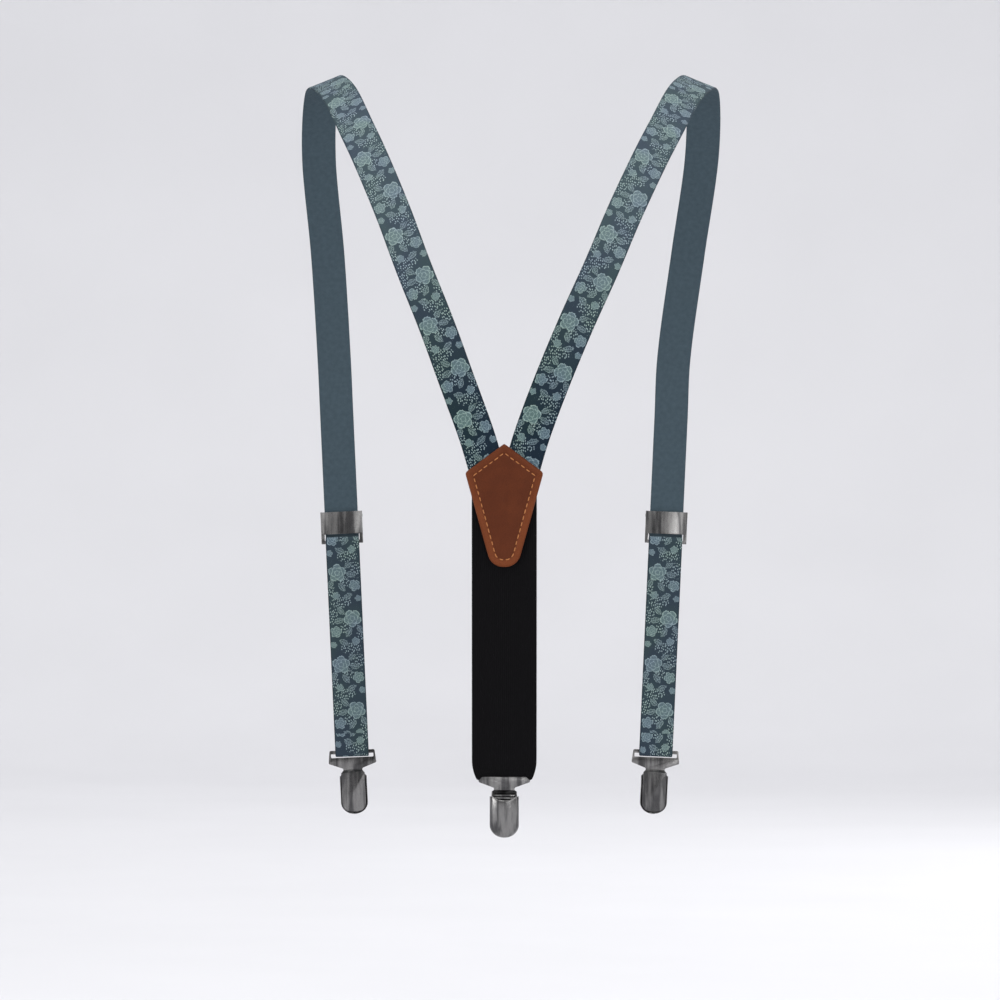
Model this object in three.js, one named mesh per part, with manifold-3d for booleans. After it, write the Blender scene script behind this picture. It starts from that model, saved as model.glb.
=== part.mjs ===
// Y-back suspenders: two printed webbing straps, a stitched leather patch, one elastic back strap,
// three metal trouser clips and two metal length adjusters.
// Millimetres. +Z is up, the wearer's back faces -Y and the wearer's right is +X.
// The origin is midway between the shoulders, where the straps lie on top of them.
import * as THREE from "three";
import { mergeVertices } from "three/addons/utils/BufferGeometryUtils.js";
import Module from "manifold-3d";

const wasm = await Module();
wasm.setup();

// ---------------------------------------------------------------- driving sizes
const GAP = 0.3; // between layers that lie on each other
const RUNNING = 0.1; // radial clearance of a pin or barrel in its hole
const FACETS = 16; // sides of a pin

const WEB = { width: 21, thick: 1.4 };
const ELASTIC = { width: 38, thick: 1.4, tail: 36 };

const PATCH = {
  top: -221, // height of the point
  height: 71.9,
  shoulder: 16.5, // from the point down to the widest place
  width: 45.8,
  foot: 15.2, // width of the straight sides carried to the bottom
  footRound: 9.2,
  leather: 1.8,
  lining: 1.0,
  liningInset: 0.6,
};

const CLIP = {
  plate: 0.9,
  barHalf: 1.1,
  slotSide: 2.9, // slot beyond the webbing, each side
  slotBelow: 0.5, // slot beyond the fold
  post: 0.8,
  flare: 0.9, // how much wider the bail is at its lower corners
  apron: 3.6, // solid strip below the slot
  neckHalf: 6,
  jawHalf: 7.4,
  jawGap: 0.75, // between the closed pads
  pad: 0.9,
  tongue: 0.8,
  tongueHalf: 6.1,
  sideGap: 0.5, // between the tongue and the ears
  earGap: 0.45, // between the ears and the lever's flanges
  reach: 34, // rear jaw's foot below the slot
};

const LEVER = { half: 8.65, sheet: 0.8, dome: 7.3, straight: 29, reach: 36.2, pin: 0.8 };

const ADJUSTER = {
  above: 145, // over the bail's bar, along the strap
  plate: 0.9,
  slack: 0.5, // between the strap and the metal behind it
  sideGap: 1.7, // from the strap's edge to the ears
  high: 7,
  bar: 2,
  flapLow: -8,
  flap: 0.8,
  barrel: 1.9,
  pin: 0.9,
  tail: 22,
};

// Where the pieces hang on the wearer.
const BACK_TILT = THREE.MathUtils.degToRad(5.6);
const BACK_ORIGIN = new THREE.Vector3(0, -130, -257);
const BAIL_HEIGHT = -412.5;
const FRONT_TOP = [107, 110, -165];
const FRONT_FOOT = [96, 120.3, BAIL_HEIGHT];
const LEAN = 5; // sideways shift of both straps at the shoulders
const LEAN_FROM = -190;

// Centreline of the right strap, before the lean: flat on the back panel under the patch, as (x, z),
// then over the shoulder.
const PANEL_LINE = [[4.8, -254], [10.4, -235], [16, -216.2]];
const SHOULDER_LINE = [
  [28, -136.6, -183.5],
  [40.8, -136.9, -150.8],
  [54.7, -130.6, -118.1],
  [68, -117.5, -84.7],
  [83.2, -96, -50.4],
  [91.9, -78, -32.6],
  [101.9, -51, -12.4],
  [108.6, -28, -3.4],
  [114.6, -5, 0],
  [118, 33, -9],
  [119, 70, -43],
  [113, 97, -100],
];
const BACK_ACROSS = new THREE.Vector3(0.93, 0.37 * Math.tan(BACK_TILT), -0.37); // in the panel's plane
const FRONT_ACROSS = new THREE.Vector3(1, 0, 0);
const CREST_TURN = [-5, 100]; // the strap squares up to the front between these depths

// ---------------------------------------------------------------- derived sizes
const foldInner = CLIP.barHalf + 0.5;
const foldMid = foldInner + WEB.thick / 2;
const slotLow = -(foldInner + WEB.thick + CLIP.slotBelow);
const slotHalf = WEB.width / 2 + CLIP.slotSide;
const bailHalf = slotHalf + CLIP.post;
const cornerHigh = slotLow - CLIP.apron;
const neckHigh = slotLow - 7;
const stepHigh = neckHigh - 1.5;

const pinAt = { y: -3, z: slotLow - 13 };
const barrelAt = { y: -0.3, z: slotLow - 11.7, r: 0.75 };
const tongueBack = -1.4;
const padBack = tongueBack + GAP + CLIP.pad;
const rearFace = padBack + CLIP.jawGap + CLIP.pad + GAP;
const rearBack = rearFace + CLIP.plate;
const earOuter = LEVER.half - LEVER.sheet - CLIP.earGap;
const earInner = earOuter - CLIP.tongue;
const earLow = pinAt.z - 4;
const neckBetweenEars = earInner - CLIP.sideGap;

const strapHalf = WEB.thick / 2;
const adjusterInner = WEB.width / 2 + ADJUSTER.sideGap;
const adjusterOuter = adjusterInner + ADJUSTER.plate;
const baseFace = strapHalf + ADJUSTER.slack;
const baseBack = baseFace + ADJUSTER.plate;
const barTop = -11;
const barFace = baseFace + WEB.thick + 0.4;
const barMid = barFace + ADJUSTER.plate / 2;
const barFold = ADJUSTER.plate / 2 + GAP + strapHalf;
const flapPin = { y: -3, z: 4 };

// ---------------------------------------------------------------- solids
function solid(geometry) {
  const bare = geometry.clone();
  bare.deleteAttribute("normal");
  bare.deleteAttribute("uv");
  const merged = mergeVertices(bare, 1e-4);
  const mesh = new wasm.Mesh({
    numProp: 3,
    vertProperties: merged.attributes.position.array,
    triVerts: new Uint32Array(merged.index.array),
  });
  return new wasm.Manifold(mesh);
}

function geometryOf(body) {
  const made = body.getMesh();
  const geometry = new THREE.BufferGeometry();
  geometry.setAttribute("position", new THREE.BufferAttribute(new Float32Array(made.vertProperties), 3));
  geometry.setIndex(new THREE.BufferAttribute(new Uint32Array(made.triVerts), 1));
  geometry.computeVertexNormals();
  return geometry;
}

const join = (...bodies) => bodies.reduce((a, b) => a.add(b));
const common = (...bodies) => bodies.reduce((a, b) => a.intersect(b));
const cut = (body, ...tools) => tools.reduce((a, b) => a.subtract(b), body);

// A closed outline from [a, b, radius] corners, with the radius left out for a sharp one.
function outline(corners, steps = 5) {
  const points = [];
  corners.forEach(([a, b, radius = 0], i) => {
    const here = new THREE.Vector2(a, b);
    if (!radius) {
      points.push(here);
      return;
    }
    const before = corners.at(i - 1);
    const after = corners[(i + 1) % corners.length];
    const toBefore = new THREE.Vector2(before[0], before[1]).sub(here).normalize();
    const toAfter = new THREE.Vector2(after[0], after[1]).sub(here).normalize();
    const half = Math.acos(toBefore.dot(toAfter)) / 2;
    const inward = toBefore.clone().add(toAfter).normalize();
    const centre = inward.multiplyScalar(radius / Math.sin(half)).add(here);
    const start = here.clone().addScaledVector(toBefore, radius / Math.tan(half)).sub(centre).angle();
    const end = here.clone().addScaledVector(toAfter, radius / Math.tan(half)).sub(centre).angle();
    const turn = THREE.MathUtils.euclideanModulo(end - start + Math.PI, 2 * Math.PI) - Math.PI;
    for (let k = 0; k <= steps; k++) {
      const angle = start + (turn * k) / steps;
      points.push(new THREE.Vector2(Math.cos(angle), Math.sin(angle)).multiplyScalar(radius).add(centre));
    }
  });
  return new THREE.Shape(points);
}

function extrude(shape, low, high, axes) {
  const geometry = new THREE.ExtrudeGeometry(shape, { depth: high - low, bevelEnabled: false });
  geometry.translate(0, 0, low);
  geometry.applyMatrix4(new THREE.Matrix4().makeBasis(...axes));
  return solid(geometry);
}

const X = new THREE.Vector3(1, 0, 0);
const Y = new THREE.Vector3(0, 1, 0);
const Z = new THREE.Vector3(0, 0, 1);
const BACKWARD = Y.clone().negate();

// An (x, z) outline between two depths, a (y, z) one between two widths, an (x, y) one between two heights.
const facing = (shape, front, back) => extrude(shape, -back, -front, [X, Z, BACKWARD]);
const sideways = (shape, low, high) => extrude(shape, low, high, [Y, Z, X]);
const upright = (shape, low, high) => extrude(shape, low, high, [X, Y, Z]);
const block = (x, y, z) => upright(outline([[x[0], y[0]], [x[1], y[0]], [x[1], y[1]], [x[0], y[1]]]), ...z);

function rod(radius, low, high, at) {
  const geometry = new THREE.CylinderGeometry(radius, radius, high - low, FACETS);
  geometry.rotateZ(-Math.PI / 2);
  geometry.translate((low + high) / 2, at.y, at.z);
  return solid(geometry);
}

// A band of flat webbing through stations of { at, across, half }, with its own thickness.
function band(stations, thick) {
  const corners = [[1, 1], [-1, 1], [-1, -1], [1, -1]];
  const positions = [];
  stations.forEach(({ at, across, half }, i) => {
    const before = stations[Math.max(i - 1, 0)].at;
    const after = stations[Math.min(i + 1, stations.length - 1)].at;
    const along = after.clone().sub(before).normalize();
    const wide = across.clone().addScaledVector(along, -across.dot(along)).normalize();
    const out = along.clone().cross(wide);
    for (const [a, b] of corners) {
      const corner = at.clone().addScaledVector(wide, a * half).addScaledVector(out, (b * thick) / 2);
      positions.push(...corner.toArray());
    }
  });
  const index = [0, 2, 1, 0, 3, 2];
  for (let i = 0; i + 1 < stations.length; i++) {
    for (let k = 0; k < 4; k++) {
      const [a, b] = [4 * i + k, 4 * i + ((k + 1) % 4)];
      index.push(a, b, b + 4, a, b + 4, a + 4);
    }
  }
  const last = 4 * (stations.length - 1);
  index.push(last, last + 1, last + 2, last, last + 2, last + 3);
  const geometry = new THREE.BufferGeometry();
  geometry.setAttribute("position", new THREE.Float32BufferAttribute(positions, 3));
  geometry.setIndex(index);
  return solid(geometry);
}

// Stations in a (y, z) plane from [y, z, half] rows, across the local X axis.
const inPlane = (rows) => rows.map(([y, z, half]) => ({ at: new THREE.Vector3(0, y, z), across: X, half }));

// Points of an arc in the (y, z) plane, in degrees from +Y towards +Z, without its two ends.
function arc(centreY, centreZ, radius, from, to, steps) {
  const rows = [];
  for (let k = 1; k < steps; k++) {
    const angle = THREE.MathUtils.degToRad(from + ((to - from) * k) / steps);
    rows.push([centreY + radius * Math.cos(angle), centreZ + radius * Math.sin(angle)]);
  }
  return rows;
}

// ---------------------------------------------------------------- materials
function paint(color, roughness, metalness = 0) {
  return new THREE.MeshStandardMaterial({ color, roughness, metalness });
}
const MATERIAL = {
  webbing: paint(0x64757d, 0.85),
  elastic: paint(0x121113, 0.9),
  leather: paint(0x5a2e18, 0.5),
  lining: paint(0x3a2114, 0.7),
  metal: paint(0xa6a4a2, 0.28, 0.95),
  pad: paint(0x1b1b1c, 0.6),
};

function node(name, body, material) {
  const mesh = new THREE.Mesh(geometryOf(body), MATERIAL[material]);
  mesh.name = name;
  return mesh;
}

// ---------------------------------------------------------------- trouser clip
// Local frame: the origin is the middle of the bail's bar, -Y faces away from the wearer.
function clipFrame() {
  const bail = outline([
    [-bailHalf, CLIP.barHalf, 0.9],
    [-bailHalf - CLIP.flare, cornerHigh, 0.8],
    [-CLIP.neckHalf, neckHigh, 1],
    [-CLIP.neckHalf, stepHigh],
    [CLIP.neckHalf, stepHigh],
    [CLIP.neckHalf, neckHigh, 1],
    [bailHalf + CLIP.flare, cornerHigh, 0.8],
    [bailHalf, CLIP.barHalf, 0.9],
  ], 3);
  const slot = outline([
    [-slotHalf, -CLIP.barHalf],
    [-slotHalf, slotLow, 0.5],
    [slotHalf, slotLow, 0.5],
    [slotHalf, -CLIP.barHalf],
  ], 2);
  const half = CLIP.plate / 2;
  const shoulders = outline([
    [-CLIP.neckHalf, stepHigh + 1],
    [-CLIP.neckHalf, stepHigh + 0.3],
    [-earOuter, stepHigh - 1.2],
    [-earOuter, earLow],
    [-CLIP.jawHalf, earLow - 1],
    [-CLIP.jawHalf, slotLow - CLIP.reach, 5],
    [CLIP.jawHalf, slotLow - CLIP.reach, 5],
    [CLIP.jawHalf, earLow - 1],
    [earOuter, earLow],
    [earOuter, stepHigh - 1.2],
    [CLIP.neckHalf, stepHigh + 0.3],
    [CLIP.neckHalf, stepHigh + 1],
  ], 4);
  const bent = outline([
    [-half, stepHigh + 1],
    [-half, stepHigh],
    [rearFace, stepHigh - 1.6],
    [rearFace, slotLow - CLIP.reach],
    [rearBack, slotLow - CLIP.reach],
    [rearBack, stepHigh - 0.9],
    [half, stepHigh + 0.7],
    [half, stepHigh + 1],
  ]);
  const widest = Math.max(earOuter, CLIP.jawHalf);
  const rear = common(sideways(bent, -widest, widest), facing(shoulders, -9, 9));
  const plate = cut(facing(bail, -half, half), facing(slot, -2, 2));
  const ears = [-1, 1].map((side) => clipEar(side));
  return cut(join(plate, rear, ...ears), rod(LEVER.pin + RUNNING, -20, 20, pinAt), barrelHole());
}

const barrelHole = () => rod(barrelAt.r + RUNNING, -20, 20, barrelAt);

function clipEar(side) {
  const shape = outline([
    [rearBack, stepHigh - 1.1],
    [barrelAt.y - 0.6, barrelAt.z + 1.35],
    [pinAt.y - 0.7, pinAt.z + 1.45, 0.5],
    [pinAt.y - 1.7, pinAt.z, 1],
    [pinAt.y - 1, pinAt.z - 1.6, 0.8],
    [pinAt.y + 1, pinAt.z - 1.6],
    [rearBack, earLow],
  ], 2);
  return sideways(shape, ...[side * earInner, side * earOuter].sort((a, b) => a - b));
}

// A plastic pad between two depths with ribs on its gripping face.
function clipPad(back, face) {
  const [low, high, pitch] = [slotLow - 32.5, slotLow - 23.5, 1.5];
  const rib = Math.sign(face - back) * 0.25;
  const points = [[back, low], [back, high]];
  for (let z = high; z > low + 1e-6; z -= pitch) {
    points.push([face, z], [face + rib, z - pitch / 2]);
  }
  points.push([face, low]);
  const half = CLIP.tongueHalf;
  const front = outline([
    [-half, high],
    [-half, low, 3.5],
    [half, low, 3.5],
    [half, high],
  ], 3);
  return common(sideways(outline(points), -half, half), facing(front, -9, 9));
}

function clipJaw() {
  const sheet = CLIP.tongue;
  const knee = pinAt.z - 2;
  const foot = slotLow - 33;
  const front = tongueBack - sheet;
  const profile = outline([
    [barrelAt.y + 0.4, barrelAt.z + 0.2],
    [barrelAt.y - 0.4, barrelAt.z - 0.1],
    [front, knee - 0.2],
    [front, foot],
    [tongueBack, foot],
    [tongueBack, knee],
  ]);
  const half = CLIP.tongueHalf;
  const shape = outline([
    [-neckBetweenEars, 0],
    [-neckBetweenEars, earLow - GAP],
    [-half, earLow - 1],
    [-half, foot, 4],
    [half, foot, 4],
    [half, earLow - 1],
    [neckBetweenEars, earLow - GAP],
    [neckBetweenEars, 0],
  ], 4);
  const widest = Math.max(half, neckBetweenEars);
  const tongue = common(sideways(profile, -widest, widest), facing(shape, -9, 9));
  return join(tongue, rod(barrelAt.r, -earOuter - 0.05, earOuter + 0.05, barrelAt));
}

// The lever's outside, or its hollow when grown inwards by the sheet's thickness.
function leverBlank(inset) {
  const half = LEVER.half - inset;
  const straight = slotLow - LEVER.straight;
  const drop = LEVER.reach - LEVER.straight - inset;
  const face = [];
  for (let k = 0; k <= 20; k++) {
    const angle = (Math.PI * k) / 20;
    face.push([-half * Math.cos(angle), straight - drop * Math.sin(angle)]);
  }
  const brow = [[1, 0], [0.91, 0], [0.85, -1.1], [0.7, -1.7], [0.46, -2.1], [0, -2.25]];
  const top = slotLow - 11.2;
  const right = brow.map(([share, down]) => [share * half, top + down]);
  const left = right.slice(0, -1).reverse().map(([x, z]) => [-x, z]);
  const silhouette = outline(inset ? [...face, [half, 0], [-half, 0]] : [...face, ...right, ...left]);

  const corner = 3.2 - inset;
  const arch = outline([
    [-half, 6],
    [-half, -LEVER.dome + inset, corner],
    [half, -LEVER.dome + inset, corner],
    [half, 6],
  ], 6);
  const bulge = [
    [-1.8, 10.5],
    [-1.2, 13.5],
    [-0.5, 17.5],
    [0, 23.5],
    [-0.2, 29.5],
    [-1.1, 33.5],
    [-2.7, 36.4],
  ];
  const front = bulge.map(([back, down]) => [-LEVER.dome - back + inset, slotLow - down]);
  const behind = inset
    ? [[6, slotLow - 40], [6, 0], [front[0][0], 0]]
    : [[-2.8, slotLow - 36.4], [-2.4, slotLow - 19], [-1.4, slotLow - 16], [-1.4, slotLow - 10.5]];
  return common(
    facing(silhouette, -9, 6),
    upright(arch, slotLow - 45, 5),
    sideways(outline([...front, ...behind]), -half, half),
  );
}

function clipLever() {
  return cut(leverBlank(0), leverBlank(LEVER.sheet), rod(LEVER.pin + RUNNING, -20, 20, pinAt));
}

function clip(prefix) {
  return [
    node(prefix + "_clip_frame", clipFrame(), "metal"),
    node(prefix + "_clip_rear_pad", clipPad(rearFace - GAP, rearFace - GAP - CLIP.pad), "pad"),
    node(prefix + "_clip_jaw", clipJaw(), "metal"),
    node(prefix + "_clip_jaw_pad", clipPad(tongueBack + GAP, padBack), "pad"),
    node(prefix + "_clip_lever", clipLever(), "metal"),
    node(prefix + "_clip_lever_pin", rod(LEVER.pin, -LEVER.half + 0.15, LEVER.half - 0.15, pinAt), "metal"),
  ];
}

// ---------------------------------------------------------------- length adjuster
// Local frame: the origin is the middle of the strap where it passes through, -Y faces outwards.
function adjusterBase() {
  const low = barTop - ADJUSTER.bar;
  const profile = outline([
    [baseFace, ADJUSTER.high],
    [baseFace, -7],
    [barFace, barTop + 0.8],
    [barFace, low],
    [barFace + ADJUSTER.plate, low],
    [barFace + ADJUSTER.plate, barTop + 0.4],
    [baseBack, -6.6],
    [baseBack, ADJUSTER.high],
  ]);
  const window = WEB.width / 2 + 0.5;
  const ear = outline([
    [baseBack, ADJUSTER.high],
    [flapPin.y + 1, ADJUSTER.high, 1.5],
    [flapPin.y - 1.9, flapPin.z, 1.8],
    [flapPin.y + 1, flapPin.z - 2.5],
    [baseBack, -4],
  ], 4);
  return cut(
    join(
      sideways(profile, -adjusterOuter, adjusterOuter),
      sideways(ear, adjusterInner, adjusterOuter),
      sideways(ear, -adjusterOuter, -adjusterInner),
    ),
    block([-window, window], [0, 9], [barTop, -7]),
    rod(ADJUSTER.pin + RUNNING, -30, 30, flapPin),
  );
}

function adjusterFlap() {
  const half = adjusterInner - 0.4;
  const face = flapPin.y - ADJUSTER.barrel;
  const biteDepth = flapPin.y + 2;
  const profile = outline([
    [face - 0.1, flapPin.z + 1],
    [face - 0.1, ADJUSTER.flapLow],
    [face - 0.1 + ADJUSTER.flap, ADJUSTER.flapLow],
    [face - 0.1 + ADJUSTER.flap, flapPin.z - 1.2],
    [flapPin.y, flapPin.z - 1.6],
    [biteDepth, flapPin.z - 0.3],
    [biteDepth, flapPin.z + 0.3],
    [flapPin.y, flapPin.z + 1.6],
  ]);
  const shape = outline([
    [-half, flapPin.z + 3],
    [-half, ADJUSTER.flapLow, 2.5],
    [half, ADJUSTER.flapLow, 2.5],
    [half, flapPin.z + 3],
  ], 4);
  const barrel = rod(ADJUSTER.barrel, -half, half, flapPin);
  const leaf = common(sideways(profile, -half, half), facing(shape, -9, 9));
  return cut(join(leaf, barrel), rod(ADJUSTER.pin + RUNNING, -30, 30, flapPin));
}

function adjuster(prefix) {
  const pin = rod(ADJUSTER.pin, -adjusterOuter - 0.2, adjusterOuter + 0.2, flapPin);
  return [
    node(prefix + "_adjuster_base", adjusterBase(), "metal"),
    node(prefix + "_adjuster_flap", adjusterFlap(), "metal"),
    node(prefix + "_adjuster_pin", pin, "metal"),
  ];
}

// ---------------------------------------------------------------- folded strap ends
// Both are in the clip's frame: down in front of the bar, under it and up behind.
function webLoop() {
  const half = WEB.width / 2;
  const wide = (rows) => rows.map(([y, z]) => [y, z, half]);
  const barZ = ADJUSTER.above + barTop;
  const barY = barMid - foldMid;
  return band(inPlane(wide([
    [-foldMid, ADJUSTER.above - GAP / 2],
    [-foldMid, 0],
    ...arc(0, 0, foldMid, 180, 360, 8),
    [foldMid, 0],
    [barY + barFold, barZ],
    ...arc(barY, barZ, barFold, 0, 180, 6),
    [barY - barFold, barZ],
    [barY - barFold, barZ - ADJUSTER.tail],
  ])), WEB.thick);
}

function elasticLoop() {
  const full = ELASTIC.width / 2;
  const pinched = slotHalf - 0.5;
  const mid = foldInner + ELASTIC.thick / 2;
  const behind = -mid + ELASTIC.thick + GAP;
  const under = arc(0, 0, mid, 180, 360, 8);
  const eased = [0.5, 0.1, 0, 0, 0, 0, 0.1]; // how far each station of the fold spreads again
  return band(inPlane([
    [-mid, ELASTIC.tail - GAP / 2, full],
    [-mid, 9, full],
    [-mid, 3, full - 1],
    [-mid, 0, full - 3.5],
    ...under.map(([y, z], k) => [y, z, pinched + eased[k] * 3]),
    [mid, 0, pinched + 1.5],
    [mid - 0.1, 1.5, pinched + 2.5],
    [mid - 0.9, 4, full - 1],
    [behind + 0.8, 7, full],
    [behind, 10, full],
    [behind, ELASTIC.tail - 2, full],
  ]), ELASTIC.thick);
}

// ---------------------------------------------------------------- back: patch and elastic
// Local frame: the straps' middle layer is the plane y = 0, and +Z runs up the back.
const backTip = (PATCH.top - BACK_ORIGIN.z) / Math.cos(BACK_TILT);
const backBail = (BAIL_HEIGHT - BACK_ORIGIN.z) / Math.cos(BACK_TILT);
const leatherBack = -(strapHalf + GAP);
const elasticFront = strapHalf + GAP;
const liningFront = elasticFront + ELASTIC.thick + GAP;

function patchShape(inset) {
  const half = PATCH.width / 2 - inset;
  return outline([
    [0, backTip - inset, 1.2],
    [half, backTip - PATCH.shoulder, 2.4],
    [PATCH.foot / 2 - inset, backTip - PATCH.height + inset, PATCH.footRound - inset],
    [-PATCH.foot / 2 + inset, backTip - PATCH.height + inset, PATCH.footRound - inset],
    [-half, backTip - PATCH.shoulder, 2.4],
  ]);
}

function elasticStrap() {
  const y = elasticFront + ELASTIC.thick / 2;
  const half = ELASTIC.width / 2;
  const low = backBail + ELASTIC.tail + GAP / 2;
  return block([-half, half], [y - ELASTIC.thick / 2, y + ELASTIC.thick / 2], [low, backTip - 20]);
}

function backPieces() {
  const front = facing(patchShape(0), leatherBack - PATCH.leather, leatherBack);
  const lining = facing(patchShape(PATCH.liningInset), liningFront, liningFront + PATCH.lining);
  return [
    node("patch_front", front, "leather"),
    node("patch_lining", lining, "lining"),
    node("elastic_strap", elasticStrap(), "elastic"),
  ];
}

// ---------------------------------------------------------------- shoulder straps
const leanAt = (z) => LEAN * Math.max(0, 1 - z / LEAN_FROM);
const onSide = (side, [x, y, z]) => new THREE.Vector3(side * x + leanAt(z), y, z);
const panelDepth = (z) => BACK_ORIGIN.y - (z - BACK_ORIGIN.z) * Math.tan(BACK_TILT);

// The straight front run: its foot at the clip, its direction up and the frame of what hangs on it.
function frontRun(side) {
  const top = new THREE.Vector3(side * FRONT_TOP[0], FRONT_TOP[1], FRONT_TOP[2]);
  const foot = new THREE.Vector3(side * FRONT_FOOT[0], FRONT_FOOT[1], FRONT_FOOT[2]);
  const up = top.clone().sub(foot).normalize();
  const right = X.clone().negate();
  right.addScaledVector(up, -right.dot(up)).normalize();
  const back = up.clone().cross(right);
  return { top, foot, up, right, back };
}

function runFrame(run, along, backward) {
  const at = run.foot.clone().addScaledVector(run.up, along).addScaledVector(run.back, backward);
  return new THREE.Matrix4().makeBasis(run.right, run.back, run.up).setPosition(at);
}

function shoulderStrap(side) {
  const run = frontRun(side);
  const end = run.foot.clone().addScaledVector(run.up, ADJUSTER.above + GAP / 2);
  const length = run.top.distanceTo(end);
  const straight = [0, 0.35, 1].map((share) => run.top.clone().addScaledVector(run.up, -length * share));
  const panel = PANEL_LINE.map(([x, z]) => [x, panelDepth(z), z]);
  const worn = [...panel, ...SHOULDER_LINE].map((point) => onSide(side, point));
  const line = new THREE.CatmullRomCurve3([...worn, ...straight], false, "centripetal");
  const across = (y) => {
    const share = THREE.MathUtils.smoothstep(y, ...CREST_TURN);
    const wide = BACK_ACROSS.clone().lerp(FRONT_ACROSS, share);
    wide.x *= side;
    return wide;
  };
  const stations = line.getSpacedPoints(84).map((at) => ({ at, across: across(at.y), half: WEB.width / 2 }));
  const beside = side > 0 ? [GAP / 2, 200] : [-200, -GAP / 2];
  return common(band(stations, WEB.thick), block(beside, [-200, 200], [-600, 60]));
}

// ---------------------------------------------------------------- assembly
function placed(name, meshes, matrix) {
  const group = new THREE.Group();
  group.name = name;
  group.add(...meshes);
  group.applyMatrix4(matrix);
  return group;
}

const suspenders = new THREE.Group();
suspenders.name = "suspenders";

const backPlane = new THREE.Matrix4().makeRotationX(BACK_TILT).setPosition(BACK_ORIGIN);
const backHang = elasticFront + ELASTIC.thick + foldInner;
const backClip = backPlane.clone().multiply(new THREE.Matrix4().makeTranslation(0, backHang, backBail));
suspenders.add(placed("back_panel", backPieces(), backPlane));
const hanging = [node("elastic_loop", elasticLoop(), "elastic"), ...clip("back")];
suspenders.add(placed("back_hanger", hanging, backClip));

for (const [name, side] of [["left", -1], ["right", 1]]) {
  const run = frontRun(side);
  const loop = node(name + "_strap_loop", webLoop(), "webbing");
  suspenders.add(node(name + "_shoulder_strap", shoulderStrap(side), "webbing"));
  suspenders.add(placed(name + "_hanger", [loop, ...clip(name)], runFrame(run, 0, foldMid)));
  suspenders.add(placed(name + "_slider", adjuster(name), runFrame(run, ADJUSTER.above, 0)));
}

export default suspenders;
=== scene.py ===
"""Y-back suspenders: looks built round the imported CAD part. Metres; sizes below are in millimetres."""

import math

import bmesh
import bpy
import numpy as np
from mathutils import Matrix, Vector


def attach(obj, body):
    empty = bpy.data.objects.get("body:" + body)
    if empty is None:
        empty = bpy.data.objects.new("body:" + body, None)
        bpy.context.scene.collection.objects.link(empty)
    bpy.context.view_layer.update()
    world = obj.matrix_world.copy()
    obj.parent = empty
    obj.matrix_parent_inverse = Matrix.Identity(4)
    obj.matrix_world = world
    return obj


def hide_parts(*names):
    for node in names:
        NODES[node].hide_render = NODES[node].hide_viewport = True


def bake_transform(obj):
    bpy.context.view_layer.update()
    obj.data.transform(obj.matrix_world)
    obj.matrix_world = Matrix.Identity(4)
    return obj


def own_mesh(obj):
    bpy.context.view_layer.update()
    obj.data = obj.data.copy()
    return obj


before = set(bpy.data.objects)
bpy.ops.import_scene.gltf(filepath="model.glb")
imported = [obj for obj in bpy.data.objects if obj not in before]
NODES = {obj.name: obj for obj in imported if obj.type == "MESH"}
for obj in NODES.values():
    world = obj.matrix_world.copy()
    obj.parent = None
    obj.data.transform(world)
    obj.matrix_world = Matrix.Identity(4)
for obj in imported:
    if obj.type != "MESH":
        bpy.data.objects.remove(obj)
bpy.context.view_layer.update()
MM = 0.001

# ---------------------------------------------------------------- sizes shared with the CAD part, mm
GAP = 0.3
WEB_HALF, WEB_THICK = 10.5, 1.4
ELASTIC_HALF, ELASTIC_THICK, ELASTIC_TAIL = 19.0, 1.4, 36.0
FOLD_INNER = 1.6
FOLD_MID = FOLD_INNER + WEB_THICK / 2
SLOT_LOW = -3.5
BACK_TILT = math.radians(5.6)
BACK_ORIGIN = np.array([0.0, -130.0, -257.0])
BAIL_HEIGHT = -412.5
FRONT_TOP = np.array([107.0, 110.0, -165.0])
FRONT_FOOT = np.array([96.0, 120.3, BAIL_HEIGHT])
LEAN, LEAN_FROM = 5.0, -190.0
PANEL_LINE = [(4.8, -254), (10.4, -235), (16, -216.2)]
SHOULDER_LINE = [
    (28, -136.6, -183.5),
    (40.8, -136.9, -150.8),
    (54.7, -130.6, -118.1),
    (68, -117.5, -84.7),
    (83.2, -96, -50.4),
    (91.9, -78, -32.6),
    (101.9, -51, -12.4),
    (108.6, -28, -3.4),
    (114.6, -5, 0),
    (118, 33, -9),
    (119, 70, -43),
    (113, 97, -100),
]
ADJUSTER_ABOVE = 145.0
BAR_TOP = -11.0
BAR_MID = 3.45
BAR_FOLD = 1.45
RETURN_TAIL = 22.0
PATCH_TIP = (-221 - BACK_ORIGIN[2]) / math.cos(BACK_TILT)
PATCH_HEIGHT, PATCH_SHOULDER = 71.9, 16.5
PATCH_HALF, PATCH_FOOT, PATCH_FOOT_ROUND = 22.9, 7.6, 9.2
BACK_BAIL = (BAIL_HEIGHT - BACK_ORIGIN[2]) / math.cos(BACK_TILT)
BACK_HANG = WEB_THICK / 2 + GAP + ELASTIC_THICK + FOLD_INNER

X = np.array([1.0, 0.0, 0.0])


# ---------------------------------------------------------------- colours and node helpers
def srgb(*rgb):
    """Linear colour with alpha from 0-255 display values."""
    out = []
    for value in rgb:
        c = value / 255
        out.append(c / 12.92 if c <= 0.04045 else ((c + 0.055) / 1.055) ** 2.4)
    return (*out, 1.0)


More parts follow.
